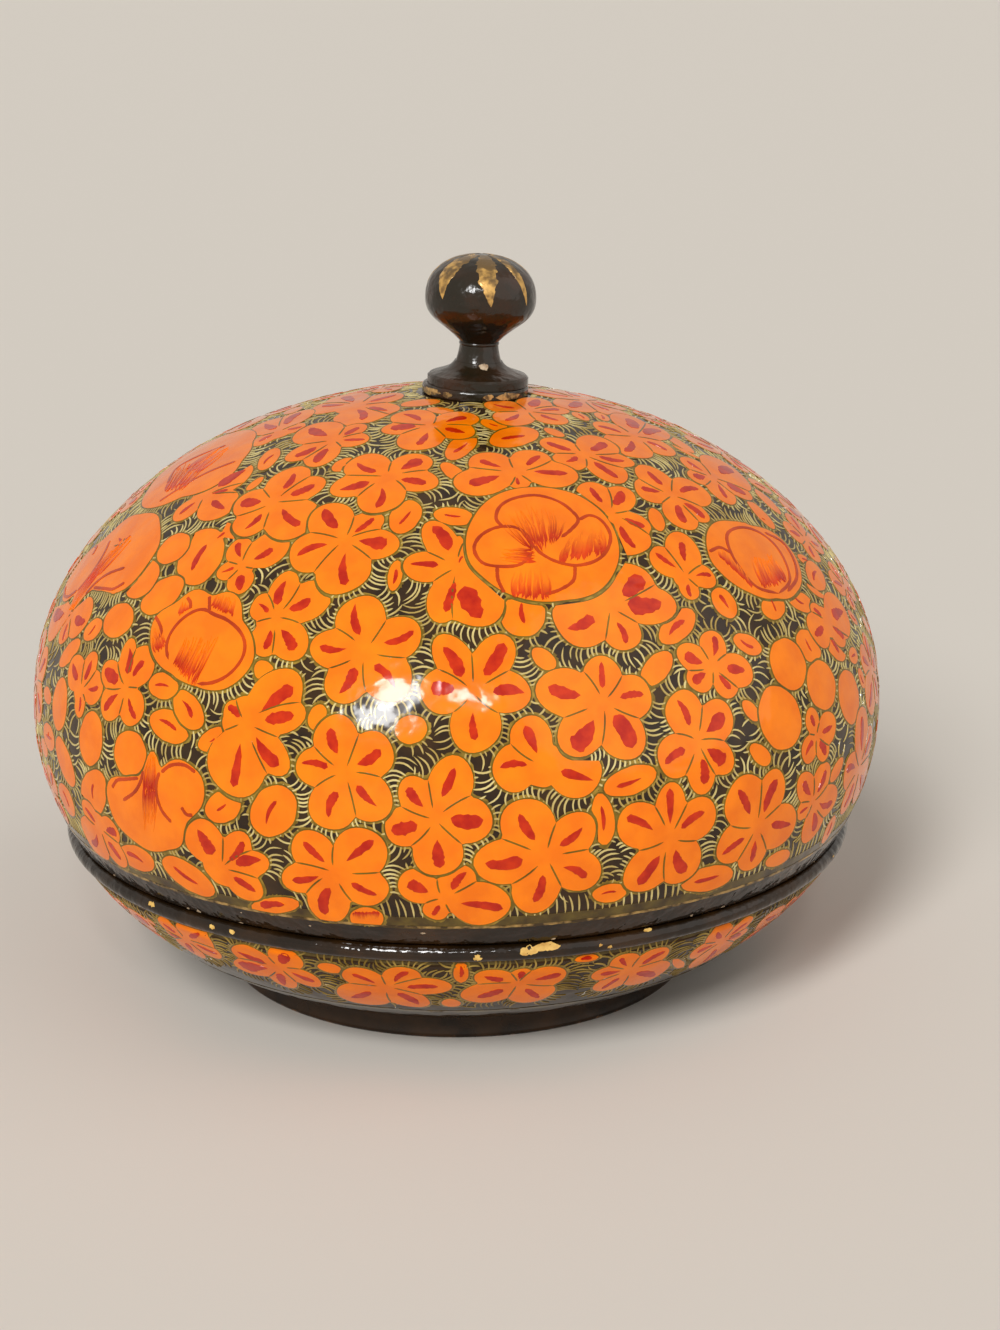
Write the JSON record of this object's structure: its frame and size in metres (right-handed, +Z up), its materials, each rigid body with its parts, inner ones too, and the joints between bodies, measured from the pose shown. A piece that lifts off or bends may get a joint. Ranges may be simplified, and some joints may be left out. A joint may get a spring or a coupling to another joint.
{
  "type": "lidded round box",
  "caption": "Round painted papier-mache box with a deep domed lift-off lid, a turned wooden knob, a rim bead, a locating collar and a ring foot.",
  "frame": {"origin": "middle of the foot ring's lower face, on the plane the box stands on", "axes": "+Z up along the box's axis; +X is the side towards which the knob leans; -Y is the front"},
  "size_m": [0.13, 0.13, 0.1101],
  "materials": {
    "painted_lid": "floral painting in orange, red and gold on brown-black, thick gloss varnish",
    "painted_bowl": "floral painting in orange, red and gold on brown-black, thick gloss varnish",
    "black_lacquer": "glossy black lacquer, chipped on the bead",
    "knob_lacquer": "glossy brown-black lacquer with worn gilt",
    "bare_paper": "dull brown pasteboard",
    "collar_paper": "thin matt black paint on pasteboard",
    "foot_lacquer": "dull dark brown paint, worn below"
  },
  "bodies": {
    "base": {"base_bowl": "painted_bowl", "base_rim_bead": "black_lacquer", "base_locating_collar": "collar_paper", "foot_ring": "foot_lacquer"},
    "lid": {"lid_shell": "painted_lid", "lid_rim_hoop": "black_lacquer", "knob_seat_disc": "knob_lacquer", "knob_finial": "knob_lacquer", "knob_backing_disc": "bare_paper"}
  },
  "joints": [
    {"name": "lid_lift", "type": "slide", "parent": "base", "child": "lid", "axis": [0, 0, 1], "range_m": [0, 0.06]}
  ]
}
